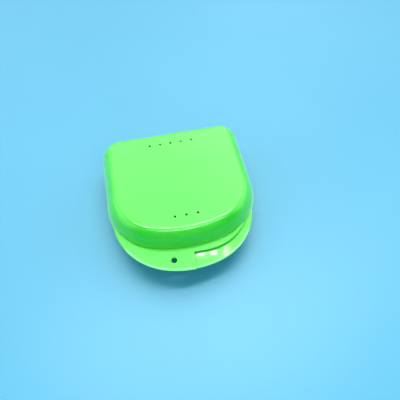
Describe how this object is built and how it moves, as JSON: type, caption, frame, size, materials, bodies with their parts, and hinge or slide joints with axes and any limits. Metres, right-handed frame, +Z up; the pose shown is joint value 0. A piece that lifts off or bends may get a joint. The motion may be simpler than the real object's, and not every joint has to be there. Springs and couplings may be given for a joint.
{
  "type": "orthodontic retainer case",
  "caption": "Hinged D-shaped plastic case for a dental retainer, with air vents, a lanyard hole and offset thumb tabs that open it.",
  "frame": {"origin": "on the resting surface, under the middle of the part's box in plan", "axes": "+Z up, +Y to the hinge at the back, +X to the right as seen from the thumb tabs"},
  "size_m": [0.0818, 0.0914, 0.0281],
  "materials": {
    "base": "glossy moulded polypropylene, bright lime green",
    "lid": "satin moulded polypropylene, bright lime green",
    "pins": "drawn stainless wire"
  },
  "bodies": {
    "base": {"base_shell": "base", "hinge_pin_left": "pins", "hinge_pin_right": "pins"},
    "lid": {"lid_shell": "lid"}
  },
  "joints": [
    {"name": "lid_hinge", "type": "hinge", "parent": "base", "child": "lid", "pos_m": [0, 0.0432, 0.015], "axis": [-1, 0, 0], "range_deg": [0, 180]}
  ]
}
